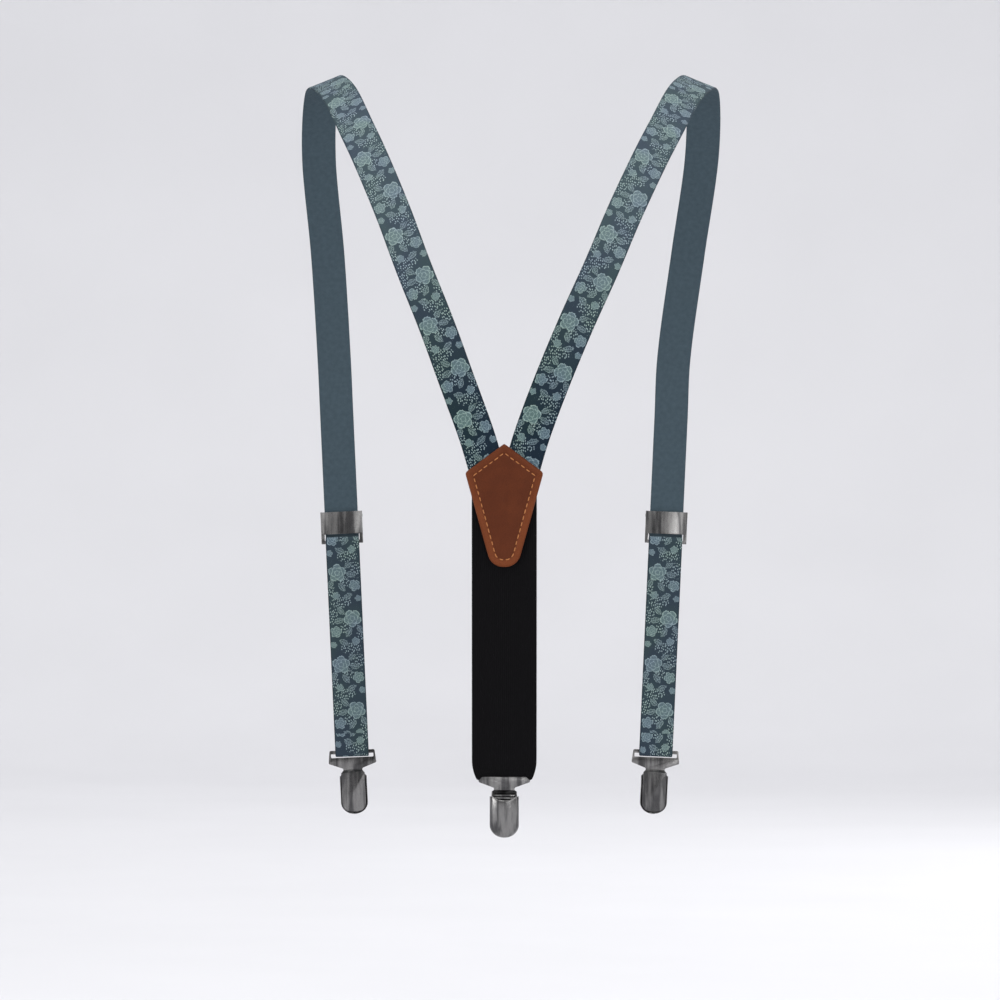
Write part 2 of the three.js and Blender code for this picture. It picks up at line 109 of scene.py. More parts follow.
class Graph:
    """A node tree with short ways to add and link nodes."""

    def __init__(self, tree):
        self.tree = tree

    def new(self, kind, **values):
        node = self.tree.nodes.new(kind)
        for key, value in values.items():
            setattr(node, key, value)
        return node

    def feed(self, socket, value):
        if isinstance(value, bpy.types.NodeSocket):
            self.tree.links.new(value, socket)
        elif value is not None:
            socket.default_value = value

    def math(self, operation, *values, clamp=False):
        node = self.new("ShaderNodeMath", operation=operation, use_clamp=clamp)
        for socket, value in zip(node.inputs, values):
            self.feed(socket, value)
        return node.outputs[0]

    def vector(self, operation, a, b=None, scale=None):
        node = self.new("ShaderNodeVectorMath", operation=operation)
        self.feed(node.inputs[0], a)
        if b is not None:
            self.feed(node.inputs[1], b)
        if scale is not None:
            self.feed(node.inputs["Scale"], scale)
        return node.outputs["Value" if operation in ("LENGTH", "DISTANCE") else "Vector"]

    def split(self, vector):
        node = self.new("ShaderNodeSeparateXYZ")
        self.feed(node.inputs[0], vector)
        return node.outputs

    def combine(self, x=0.0, y=0.0, z=0.0):
        node = self.new("ShaderNodeCombineXYZ")
        for socket, value in zip(node.inputs, (x, y, z)):
            self.feed(socket, value)
        return node.outputs[0]

    def smooth(self, value, low, high):
        """0 below low, 1 above high, eased between."""
        node = self.new("ShaderNodeMapRange", interpolation_type="SMOOTHSTEP")
        for socket, given in zip(node.inputs, (value, low, high)):
            self.feed(socket, given)
        return node.outputs[0]

    def peak(self, value, centre, width):
        """1 where value is centre, falling to 0 a width away."""
        away = self.math("ABSOLUTE", self.math("SUBTRACT", value, centre))
        return self.math("SUBTRACT", 1.0, self.math("DIVIDE", away, width), clamp=True)

    def mix(self, share, a, b):
        node = self.new("ShaderNodeMix", data_type="RGBA")
        self.feed(node.inputs[0], share)
        self.feed(node.inputs[6], a)
        self.feed(node.inputs[7], b)
        return node.outputs[2]

    def blend(self, share, a, b):
        node = self.new("ShaderNodeMix", data_type="FLOAT")
        self.feed(node.inputs[0], share)
        self.feed(node.inputs[2], a)
        self.feed(node.inputs[3], b)
        return node.outputs[0]

    def noise(self, vector, scale, detail=2.0, rough=0.5, distortion=0.0, dimensions="3D"):
        node = self.new("ShaderNodeTexNoise", noise_dimensions=dimensions)
        self.feed(node.inputs["Vector"], vector)
        node.inputs["Scale"].default_value = scale
        node.inputs["Detail"].default_value = detail
        node.inputs["Roughness"].default_value = rough
        node.inputs["Distortion"].default_value = distortion
        return node.outputs["Fac"]

    def object_mm(self):
        """The piece's own coordinates in millimetres."""
        node = self.new("ShaderNodeTexCoord")
        return self.vector("SCALE", node.outputs["Object"], scale=1000.0)

    def strap_mm(self):
        """(across, along) of a strap in millimetres."""
        node = self.new("ShaderNodeUVMap", uv_map="Strap")
        return self.vector("SCALE", node.outputs[0], scale=100.0)

    def bump(self, height, strength, distance_mm, normal=None):
        node = self.new("ShaderNodeBump")
        node.inputs["Strength"].default_value = strength
        node.inputs["Distance"].default_value = distance_mm * MM
        self.feed(node.inputs["Height"], height)
        if normal is not None:
            self.feed(node.inputs["Normal"], normal)
        return node.outputs[0]


def material(name, roughness, metallic=0.0, **sockets):
    """A new material's graph and shader. Values that are the same all over go straight on the shader."""
    made = bpy.data.materials.new(name)
    made.use_nodes = True
    graph = Graph(made.node_tree)
    shader = made.node_tree.nodes["Principled BSDF"]
    shader.inputs["Roughness"].default_value = roughness
    shader.inputs["Metallic"].default_value = metallic
    for key, value in sockets.items():
        shader.inputs[key.replace("_", " ")].default_value = value
    return made, graph, shader


def group(name, inputs, outputs):
    tree = bpy.data.node_groups.new(name, "ShaderNodeTree")
    for kind, label in inputs:
        tree.interface.new_socket(label, in_out="INPUT", socket_type=kind)
    for label in outputs:
        tree.interface.new_socket(label, in_out="OUTPUT", socket_type="NodeSocketFloat")
    graph = Graph(tree)
    return tree, graph, graph.new("NodeGroupInput").outputs, graph.new("NodeGroupOutput").inputs


# ---------------------------------------------------------------- printed webbing
REPEAT = 58.0  # length of one repeat of the print
FLOAT, VECTOR = "NodeSocketFloat", "NodeSocketVector"


def bloom_group():
    """A layered round bloom of broad petals. Outputs where it is, and its pale drawn lines."""
    tree, g, given, out = group(
        "Bloom",
        [(VECTOR, "Place"), (FLOAT, "Across"), (FLOAT, "Along"),
         (FLOAT, "Radius"), (FLOAT, "Petals"), (FLOAT, "Turn")],
        ["Mask", "Line"],
    )
    away = g.vector("SUBTRACT", given["Place"], g.combine(given["Across"], given["Along"]))
    x, y, _ = g.split(away)
    radius = g.math("DIVIDE", g.vector("LENGTH", away), given["Radius"])
    angle = g.math("ADD", g.math("ARCTAN2", y, x), given["Turn"])
    half_turns = g.math("MULTIPLY", g.math("MULTIPLY", angle, given["Petals"]), 0.5)
    outer_lobe = g.math("ABSOLUTE", g.math("COSINE", half_turns))
    inner_lobe = g.math("ABSOLUTE", g.math("SINE", half_turns))
    frill = g.math("MULTIPLY", g.math("SINE", g.math("MULTIPLY", half_turns, 7.0)), 0.012)
    edge = g.math("ADD", g.math("MULTIPLY_ADD", g.math("POWER", outer_lobe, 0.6), 0.3, 0.7), frill)
    outer = g.math("DIVIDE", radius, edge)
    middle = g.math("DIVIDE", radius, g.math("MULTIPLY_ADD", g.math("POWER", inner_lobe, 0.6), 0.2, 0.46))
    heart = g.math("DIVIDE", radius, g.math("MULTIPLY_ADD", g.math("POWER", outer_lobe, 0.7), 0.12, 0.2))
    seam = g.math("MULTIPLY", g.peak(outer_lobe, 0.0, 0.14), g.smooth(middle, 1.0, 1.08))
    inner_seam = g.math("MULTIPLY", g.peak(inner_lobe, 0.0, 0.16), g.smooth(heart, 1.0, 1.1))
    inner_seam = g.math("MULTIPLY", inner_seam, g.smooth(middle, 1.0, 0.9))
    veins = g.math("COSINE", g.math("MULTIPLY", half_turns, 8.0))
    veins = g.math("MULTIPLY", g.math("MULTIPLY_ADD", veins, 0.5, 0.5), 0.14)
    lines = g.math("MAXIMUM", g.peak(outer, 0.94, 0.08), g.math("MULTIPLY", g.peak(middle, 0.95, 0.11), 0.9))
    lines = g.math("MAXIMUM", lines, g.math("MULTIPLY", g.peak(heart, 0.9, 0.22), 0.85))
    lines = g.math("MAXIMUM", lines, g.math("MULTIPLY", g.math("MAXIMUM", seam, inner_seam), 0.75))
    g.feed(out["Line"], g.math("MAXIMUM", lines, veins))
    g.feed(out["Mask"], g.smooth(outer, 1.03, 0.97))
    return tree


def leaf_group():
    """A pointed leaf with an outline, a midrib and dashed side veins."""
    tree, g, given, out = group(
        "Leaf",
        [(VECTOR, "Place"), (FLOAT, "Across"), (FLOAT, "Along"),
         (FLOAT, "Angle"), (FLOAT, "Half"), (FLOAT, "Wide")],
        ["Mask", "Line"],
    )
    away = g.vector("SUBTRACT", given["Place"], g.combine(given["Across"], given["Along"]))
    turn = g.new("ShaderNodeVectorRotate", rotation_type="Z_AXIS")
    g.feed(turn.inputs["Vector"], away)
    g.feed(turn.inputs["Angle"], given["Angle"])
    x, y, _ = g.split(turn.outputs[0])
    share = g.math("DIVIDE", x, given["Half"])
    side = g.math("ABSOLUTE", g.math("DIVIDE", y, given["Wide"]))
    edge = g.math("MAXIMUM", g.math("SUBTRACT", 1.0, g.math("MULTIPLY", share, share)), 0.001)
    across = g.math("DIVIDE", side, edge)
    ribs = g.math("SINE", g.math("MULTIPLY", g.math("MULTIPLY_ADD", side, 0.9, x), 5.6))
    ribs = g.math("MULTIPLY", g.smooth(ribs, 0.3, 0.8), g.smooth(across, 0.72, 0.6))
    lines = g.math("MAXIMUM", g.peak(across, 0.9, 0.15), g.math("MULTIPLY", g.peak(side, 0.0, 0.13), 0.75))
    g.feed(out["Line"], g.math("MAXIMUM", lines, g.math("MULTIPLY", ribs, 0.5)))
    g.feed(out["Mask"], g.smooth(across, 1.04, 0.97))
    return tree


# Half of one repeat, across and along in mm, then sizes. The other half is its mirror image.
HALF_REPEAT = REPEAT / 2
LEAVES = [  # across, along, angle, half length, half width
    (2.9, 1.6, 0.75, 3.3, 1.7),
    (4.2, 7.6, -0.25, 3.4, 1.8),
    (-8.6, 13.2, 1.15, 3.1, 1.7),
    (-1.6, 15.4, 2.2, 3.3, 1.7),
    (1.8, 21.4, 0.5, 3.4, 1.8),
]
BLOOMS = [  # across, along, radius, petals, turn
    (-4.2, 6.4, 5.7, 5, 0.3),
    (6.4, 14.6, 3.7, 5, 0.8),
    (-5.6, 20.8, 2.5, 6, 0.1),
    (8.4, 22.8, 2.1, 5, 0.5),
]
SPRAYS = [  # across, along, half width, half length of a field of seeds
    (8.2, 4.4, 3.6, 5.4),
    (-2.6, 25.2, 6.6, 3.4),
    (0.6, 12.4, 3.4, 3.2),
    (-9.0, 17.0, 2.6, 4.6),
]


def both_halves(rows, turned):
    """The rows, and the same rows mirrored across the strap, half a repeat further on."""
    other = [(-row[0], row[1] + HALF_REPEAT, *turned(row[2:])) for row in rows]
    return rows + other


def print_lines(g, across, along):
    """The print's masks over one repeat: (fill, where a motif is, drawn line, seeds)."""
    fold = g.math("MULTIPLY", g.math("FRACT", g.math("DIVIDE", along, REPEAT)), REPEAT)
    raw = g.combine(across, along)
    wobble = g.new("ShaderNodeTexNoise", noise_dimensions="2D")
    g.feed(wobble.inputs["Vector"], raw)
    wobble.inputs["Scale"].default_value = 0.9
    wobble.inputs["Detail"].default_value = 1.0
    shift = g.vector("SUBTRACT", wobble.outputs["Color"], (0.5, 0.5, 0.5))
    place = g.vector("ADD", g.combine(across, fold), g.vector("MULTIPLY", shift, (1.2, 1.2, 0.0)))

    fill, cover, line = 0.0, 0.0, 0.0
    leaves = both_halves(LEAVES, lambda sizes: (math.pi - sizes[0], *sizes[1:]))
    blooms = both_halves(BLOOMS, lambda sizes: (sizes[0], sizes[1], sizes[2] + 0.6))
    for tree, strength, rows in ((leaf_group(), 0.3, leaves), (bloom_group(), 1.0, blooms)):
        for row in rows:
            node = g.new("ShaderNodeGroup", node_tree=tree)
            g.feed(node.inputs[0], place)
            for socket, value in zip(node.inputs[1:], row):
                socket.default_value = value
            mask, drawn = node.outputs
            line = g.blend(mask, line, drawn)
            cover = g.math("MAXIMUM", cover, mask)
            fill = g.blend(mask, fill, strength)

    field = 0.0
    for x, y, wide, long in both_halves(SPRAYS, lambda sizes: sizes):
        away = g.vector("SUBTRACT", place, (x, y, 0.0))
        away = g.vector("LENGTH", g.vector("MULTIPLY", away, (1 / wide, 1 / long, 0.0)))
        field = g.math("MAXIMUM", field, g.smooth(away, 1.08, 0.92))
    slant = g.new("ShaderNodeVectorRotate", rotation_type="Z_AXIS")
    g.feed(slant.inputs["Vector"], g.combine(across, fold))
    slant.inputs["Angle"].default_value = 0.35
    cells = g.new("ShaderNodeTexVoronoi", voronoi_dimensions="2D")
    g.feed(cells.inputs["Vector"], g.vector("MULTIPLY", slant.outputs[0], (0.86, 0.52, 0.0)))
    cells.inputs["Scale"].default_value = 1.0
    cells.inputs["Randomness"].default_value = 0.62
    dash = g.smooth(cells.outputs["Distance"], 0.32, 0.2)
    seeds = g.math("MULTIPLY", g.math("MULTIPLY", dash, field), g.smooth(cover, 0.6, 0.1))
    return fill, cover, line, seeds


def webbing_material():
    made, g, shader = material("printed_webbing", 0.8, Specular_IOR_Level=0.08)
    at = g.strap_mm()
    across, along, _ = g.split(at)
    motif, cover, line, seeds = print_lines(g, across, g.math("MULTIPLY", along, -1.0))

    # The print is crisp and dark near the patch. Towards the shoulder, where the strap faces up, its colours
    # are painted paler and softer as painted light, which eases off again on the front straps.
    front_light_share = g.blend(g.smooth(along, 300.0, 420.0), 1.0, 0.55)
    shoulder_light = g.math("MULTIPLY", g.smooth(along, 30.0, 200.0), front_light_share)
    tint = g.smooth(g.noise(at, 0.05, 2.0, dimensions="2D"), 0.3, 0.7)
    ground = g.mix(tint, srgb(25, 38, 50), srgb(28, 44, 50))
    # The second colour of each pair below is the paler, painted-light shoulder colour.
    ground = g.mix(shoulder_light, ground, g.mix(tint, srgb(60, 71, 82), srgb(62, 76, 81)))
    fill = g.mix(tint, srgb(78, 97, 108), srgb(84, 108, 107))
    fill = g.mix(shoulder_light, fill, g.mix(tint, srgb(92, 107, 117), srgb(97, 115, 116)))
    drawn = g.mix(tint, srgb(140, 160, 168), srgb(150, 172, 164))
    drawn = g.mix(shoulder_light, drawn, g.mix(tint, srgb(142, 158, 168), srgb(148, 167, 163)))

    worn = g.noise(at, 1.9, 3.0, 0.65, dimensions="2D")
    colour = g.mix(g.math("MULTIPLY", seeds, g.smooth(worn, 0.2, 0.55)), ground, drawn)
    colour = g.mix(
        g.math("MULTIPLY", motif, g.math("MULTIPLY_ADD", worn, 0.6, 0.5), clamp=True), colour, fill
    )
    lace = g.math(
        "MULTIPLY", g.math("MULTIPLY", line, cover), g.math("MULTIPLY_ADD", worn, 1.0, 0.45), clamp=True
    )
    colour = g.mix(lace, colour, drawn)

    # Weave: fine ribs across with warp threads along, seen in colour and bump.
    ribs = g.math("SINE", g.math("MULTIPLY", along, 2 * math.pi / 0.62))
    warp = g.math("SINE", g.math("MULTIPLY", across, 2 * math.pi / 0.48))
    weave = g.math("MULTIPLY", ribs, warp)
    shade = g.math("MULTIPLY_ADD", weave, 0.07, 0.97)
    selvedge = g.smooth(g.math("ABSOLUTE", across), 9.4, 10.3)
    shade = g.math("MULTIPLY", shade, g.math("MULTIPLY_ADD", selvedge, -0.16, 1.0))
    tinted = g.vector("SCALE", colour, scale=shade)
    g.feed(shader.inputs["Base Color"], tinted)
    height = g.math("ADD", g.math("MULTIPLY", weave, 0.5), g.math("MULTIPLY", motif, 0.35))
    height = g.math("ADD", height, g.math("MULTIPLY", selvedge, 0.8))
    g.feed(shader.inputs["Normal"], g.bump(height, 0.35, 0.12))
    return made


def light_share(g, weave, depth, base, mottle, amount):
    """How much of a thread's lighter colour shows: its weave round a base, with some mottle."""
    return g.math(
        "ADD", g.math("MULTIPLY_ADD", weave, depth, base), g.math("MULTIPLY", mottle, amount), clamp=True
    )


def reverse_material():
    made, g, shader = material("webbing_reverse", 0.85, Specular_IOR_Level=0.08)
    at = g.strap_mm()
    across, along, _ = g.split(at)
    twill = g.math(
        "SINE", g.math("MULTIPLY", g.math("ADD", g.math("MULTIPLY", across, 1.0), along), 2 * math.pi / 0.9)
    )
    warp = g.math("SINE", g.math("MULTIPLY", across, 2 * math.pi / 0.5))
    mottle = g.noise(at, 0.35, 3.0, dimensions="2D")
    share = light_share(g, twill, 0.12, 0.3, mottle, 0.4)
    g.feed(shader.inputs["Base Color"], g.mix(share, srgb(46, 58, 67), srgb(80, 95, 103)))
    height = g.math("ADD", twill, g.math("MULTIPLY", warp, 0.5))
    g.feed(shader.inputs["Normal"], g.bump(height, 0.4, 0.12))
    return made


def elastic_material():
    made, g, shader = material("black_elastic", 0.7, Specular_IOR_Level=0.05)
    at = g.strap_mm()
    across, along, _ = g.split(at)
    cords = g.math("SINE", g.math("MULTIPLY", across, 2 * math.pi / 1.15))
    picks = g.math("SINE", g.math("MULTIPLY", along, 2 * math.pi / 0.7))
    mottle = g.noise(at, 0.5, 3.0, dimensions="2D")
    share = light_share(g, cords, 0.18, 0.3, mottle, 0.4)
    g.feed(shader.inputs["Base Color"], g.mix(share, srgb(5, 5, 6), srgb(17, 16, 18)))
    selvedge = g.smooth(g.math("ABSOLUTE", across), 17.6, 18.4)
    height = g.math(
        "ADD", cords, g.math("MULTIPLY", g.math("MULTIPLY", picks, 0.6), g.smooth(cords, -0.6, 0.4))
    )
    height = g.math("ADD", height, g.math("MULTIPLY", selvedge, 1.4))
    g.feed(shader.inputs["Normal"], g.bump(height, 0.5, 0.16))
    g.feed(shader.inputs["Roughness"], g.math("MULTIPLY_ADD", mottle, 0.25, 0.58))
    return made


# ---------------------------------------------------------------- leather, thread, metal and plastic
def leather_material(name, deep, warm, grain_mm, roughness):
    made, g, shader = material(name, roughness, Specular_IOR_Level=0.12)
    at = g.object_mm()
    rim = g.new("ShaderNodeAttribute", attribute_name="rim").outputs["Fac"]
    cells = g.new("ShaderNodeTexVoronoi", feature="DISTANCE_TO_EDGE")
    bent = g.vector("ADD", at, g.vector("SCALE", g.new("ShaderNodeTexCoord").outputs["Object"], scale=1.0))
    g.feed(cells.inputs["Vector"], bent)
    cells.inputs["Scale"].default_value = 1 / grain_mm
    pebbles = g.smooth(cells.outputs["Distance"], 0.0, 0.22)
    cloud = g.noise(at, 0.09, 3.0, 0.6)
    fine = g.noise(at, 2.6, 4.0, 0.65)
    mottled = g.math("ADD", g.math("MULTIPLY", cloud, 0.5), g.math("MULTIPLY", fine, 0.28))
    # rim lightens the leather outside the stitching; near the top of the patch it is lowered as painted
    # shade.
    share = g.math("ADD", g.math("MULTIPLY", rim, 0.75), g.math("SUBTRACT", mottled, 0.33), clamp=True)
    colour = g.mix(share, deep, warm)
    colour = g.vector("SCALE", colour, scale=g.math("MULTIPLY_ADD", pebbles, 0.2, 0.82))
    g.feed(shader.inputs["Base Color"], colour)
    g.feed(shader.inputs["Roughness"], g.math("MULTIPLY_ADD", fine, 0.3, roughness - 0.15))
    height = g.math("ADD", g.math("MULTIPLY", pebbles, 0.7), g.math("MULTIPLY", fine, 0.6))
    g.feed(shader.inputs["Normal"], g.bump(height, 0.32, 0.14))
    return made


def thread_material(name, dark, light):
    made, g, shader = material(name, 0.6, Specular_IOR_Level=0.2)
    at = g.object_mm()
    x, _, z = g.split(at)
    twist = g.math("SINE", g.math("MULTIPLY", g.math("ADD", x, z), 2 * math.pi / 0.42))
    mottle = g.noise(at, 1.4, 2.0)
    share = light_share(g, twist, 0.25, 0.2, mottle, 0.6)
    g.feed(shader.inputs["Base Color"], g.mix(share, dark, light))
    g.feed(shader.inputs["Normal"], g.bump(twist, 0.5, 0.08))
    return made


def metal_material():
    made, g, shader = material("nickel_plate", 0.2, 1.0)
    at = g.object_mm()
    cloud = g.noise(at, 0.25, 3.0, 0.6)
    brushed = g.noise(g.vector("MULTIPLY", at, (6.0, 6.0, 0.5)), 1.0, 3.0, 0.6)
    pits = g.noise(at, 3.0, 3.0, 0.6)
    # Painted reflection: broad vertical light and dark streaks in the base colour stand in for the studio
    # mirrored in the polished plate; cloud and brushed are the metal's own mottle.
    painted_reflection_streaks = g.smooth(g.noise(g.vector("MULTIPLY", at, (-0.3, 0.3, 0.03)), 1.0, 2.0, 0.5), 0.36, 0.64)
    fine = g.math("ADD", g.math("MULTIPLY", cloud, 0.6), g.math("MULTIPLY", brushed, 0.4))
    reflection_and_mottle = g.math("ADD", g.math("MULTIPLY", painted_reflection_streaks, 0.65), g.math("MULTIPLY", fine, 0.35))
    g.feed(shader.inputs["Base Color"], g.mix(reflection_and_mottle, srgb(56, 56, 58), srgb(140, 139, 138)))
    rough = g.math("ADD", g.math("MULTIPLY", pits, 0.12), g.math("MULTIPLY", brushed, 0.12))
    g.feed(shader.inputs["Roughness"], g.math("ADD", rough, 0.17))
    g.feed(shader.inputs["Normal"], g.bump(brushed, 0.06, 0.05))
    return made


def pad_material():
    made, g, shader = material("grip_plastic", 0.55)
    at = g.object_mm()
    fine = g.noise(at, 2.5, 3.0)
    cloud = g.noise(at, 0.3, 2.0)
    g.feed(shader.inputs["Base Color"], g.mix(cloud, srgb(20, 20, 21), srgb(44, 44, 46)))
    g.feed(shader.inputs["Roughness"], g.math("MULTIPLY_ADD", fine, 0.25, 0.42))
    g.feed(shader.inputs["Normal"], g.bump(fine, 0.2, 0.06))
    return made


WEBBING = webbing_material()
REVERSE = reverse_material()
ELASTIC = elastic_material()
LEATHER = leather_material("cognac_leather", srgb(84, 39, 18), srgb(120, 62, 32), 0.8, 0.5)
LINING = leather_material("lining_leather", srgb(46, 26, 16), srgb(78, 48, 32), 0.6, 0.7)
THREAD = thread_material("tan_thread", srgb(142, 82, 42), srgb(208, 142, 86))
BLACK_THREAD = thread_material("black_thread", srgb(8, 8, 9), srgb(34, 33, 36))
METAL = metal_material()
PAD = pad_material()


# ---------------------------------------------------------------- mesh helpers
def add_mesh(name, points_mm, faces, materials, slots=None, uvs=None, smooth=40.0):
    """An object from points in millimetres. slots gives each face's material, uvs each corner's (u, v)."""
    mesh = bpy.data.meshes.new(name)
    mesh.from_pydata((np.asarray(points_mm) * MM).tolist(), [], faces)
    for one in materials:
        mesh.materials.append(one)
    if slots is not None:
        mesh.polygons.foreach_set("material_index", slots)
    if uvs is not None:
        layer = mesh.uv_layers.new(name="Strap")
        layer.data.foreach_set("uv", np.asarray(uvs, float).ravel())
    mesh.validate()
    mesh.update()
    mesh.shade_smooth()
    mesh.set_sharp_from_angle(angle=math.radians(smooth))
    obj = bpy.data.objects.new(name, mesh)
    bpy.context.scene.collection.objects.link(obj)
    return obj


def unit(v):
    v = np.asarray(v, float)
    return v / np.linalg.norm(v, axis=-1, keepdims=True)


def ring_profile(half, thick, cells):
    """A band's section as (across, out) offsets, and each corner's distance across for the print."""
    round_r = thick / 2
    flat = half - round_r
    top = [(flat * (1 - 2 * k / cells), round_r) for k in range(cells + 1)]
    left = [
        (-flat - round_r * math.sin(a), round_r * math.cos(a))
        for a in (math.pi / 4, math.pi / 2, 3 * math.pi / 4)
    ]
    bottom = [(-x, -y) for x, y in top]
    right = [(-x, -y) for x, y in left]
    return top + left + bottom + right


def band(name, at, across, half, thick, materials, cells=10, start=0.0, ripple=None, droop=None):
    """A closed band of webbing along the points at, with rounded edges.

    The first material is on its outside.
    """
    at = np.asarray(at, float)
    along = unit(np.gradient(at, axis=0))
    wide = across - (across * along).sum(1, keepdims=True) * along
    wide = unit(wide)
    out = np.cross(along, wide)
    steps = np.linalg.norm(np.diff(at, axis=0), axis=1)
    distance = start + np.concatenate([[0.0], np.cumsum(steps)])
    half = np.broadcast_to(np.asarray(half, float), (len(at),))
    base = np.array(ring_profile(float(half.max()), thick, cells))
    count = len(base)
    points = np.empty((len(at), count, 3))
    uv = np.empty((len(at), count, 2))
    for i in range(len(at)):
        scale = half[i] / half.max()
        x = base[:, 0] * scale
        lift = base[:, 1] if ripple is None else base[:, 1] + ripple(distance[i], x)
        points[i] = at[i] + np.outer(x, wide[i]) + np.outer(lift, out[i])
        if droop is not None:
            drops, begin, up = droop
            share = np.clip((np.abs(x) - begin) / 3.0, 0, 1)
            points[i] -= np.outer(drops[i] * share * share * (3 - 2 * share), up)
        uv[i, :, 0] = -base[:, 0] / 100
        uv[i, :, 1] = distance[i] / 100
    faces, slots, corners = [], [], []
    for i in range(len(at) - 1):
        for k in range(count):
            n = (k + 1) % count
            faces.append((i * count + k, i * count + n, (i + 1) * count + n, (i + 1) * count + k))
            outside = base[k, 1] + base[n, 1] > -0.3 * thick
            slots.append(0 if outside else 1)
            corners += [uv[i, k], uv[i, n], uv[i + 1, n], uv[i + 1, k]]
    for ring, order in ((0, range(count - 1, -1, -1)), (len(at) - 1, range(count))):
        faces.append(tuple(ring * count + k for k in order))
        slots.append(0)
        corners += [uv[ring, k] for k in order]
    return add_mesh(name, points.reshape(-1, 3), faces, materials, slots, corners)


def resample(points, step):
    """Points every step along a polyline."""
    points = np.asarray(points, float)
    length = np.concatenate([[0.0], np.cumsum(np.linalg.norm(np.diff(points, axis=0), axis=1))])
    count = max(2, round(length[-1] / step) + 1)
    wanted = np.linspace(0.0, length[-1], count)
    return np.stack([np.interp(wanted, length, points[:, k]) for k in range(points.shape[1])], axis=1)


def through(points, per_piece=24):
    """A centripetal Catmull-Rom curve through points, the same one that the CAD strap follows."""
    points = [np.asarray(p, float) for p in points]
    points = [2 * points[0] - points[1], *points, 2 * points[-1] - points[-2]]
    out = []
    for p0, p1, p2, p3 in zip(points, points[1:], points[2:], points[3:]):
        gaps = [np.linalg.norm(b - a) ** 0.5 for a, b in ((p0, p1), (p1, p2), (p2, p3))]
        d0, d1, d2 = gaps
        t1 = ((p1 - p0) / d0 - (p2 - p0) / (d0 + d1) + (p2 - p1) / d1) * d1
        t2 = ((p2 - p1) / d1 - (p3 - p1) / (d1 + d2) + (p3 - p2) / d2) * d1
        for k in range(per_piece):
            t = k / per_piece
            a = 2 * (p1 - p2) + t1 + t2
            b = 3 * (p2 - p1) - 2 * t1 - t2
            out.append(((a * t + b) * t + t1) * t + p1)
    out.append(points[-2])
    return np.array(out)


def arc(y, z, radius, start, end, steps):
    angles = np.radians(np.linspace(start, end, steps + 1))
    return [(y + radius * math.cos(a), z + radius * math.sin(a)) for a in angles]


class Place:
    """A local frame: origin, right, back and up, in millimetres."""

    def __init__(self, origin, right, back, up):
        self.origin, self.right, self.back, self.up = (
            np.asarray(v, float) for v in (origin, right, back, up)
        )

    def world(self, local):
        local = np.atleast_2d(np.asarray(local, float))
        axes = np.stack([self.right, self.back, self.up])
        return self.origin + local @ axes

    def moved(self, x=0.0, y=0.0, z=0.0):
        return Place(self.world((x, y, z))[0], self.right, self.back, self.up)


BACK = Place(
    BACK_ORIGIN,
    X,
    (0, math.cos(BACK_TILT), math.sin(BACK_TILT)),
    (0, -math.sin(BACK_TILT), math.cos(BACK_TILT)),
)
BACK_CLIP = BACK.moved(y=BACK_HANG, z=BACK_BAIL)


def front_run(side):
    """The frame at the foot of a front strap, on the strap's middle."""
    mirror = np.array([side, 1, 1])
    foot, top = FRONT_FOOT * mirror, FRONT_TOP * mirror
    up = unit(top - foot)
    right = -X - (-X @ up) * up
    right = unit(right)
    return Place(foot, right, np.cross(up, right), up), top


# ---------------------------------------------------------------- camera and light
def camera():
    """Level with the small of the back, straight behind the wearer."""
    data = bpy.data.cameras.new("camera")
    data.sensor_width = 36.0
    data.lens = 185.1
    data.clip_end = 30.0
    made = bpy.data.objects.new("camera", data)
    made.location = (-0.0025, -3.131, -0.2535)
    made.rotation_euler = (math.pi / 2, 0, 0)
    bpy.context.scene.collection.objects.link(made)
    bpy.context.scene.camera = made


def lamp(name, at, aim, size, energy, colour=(1, 1, 1)):
    data = bpy.data.lights.new(name, "AREA")
    data.shape = "RECTANGLE"
    data.size, data.size_y = size
    data.energy = energy
    data.color = colour
    made = bpy.data.objects.new(name, data)
    made.location = at
    made.rotation_euler = (Vector(aim) - Vector(at)).to_track_quat("-Z", "Y").to_euler()
    bpy.context.scene.collection.objects.link(made)


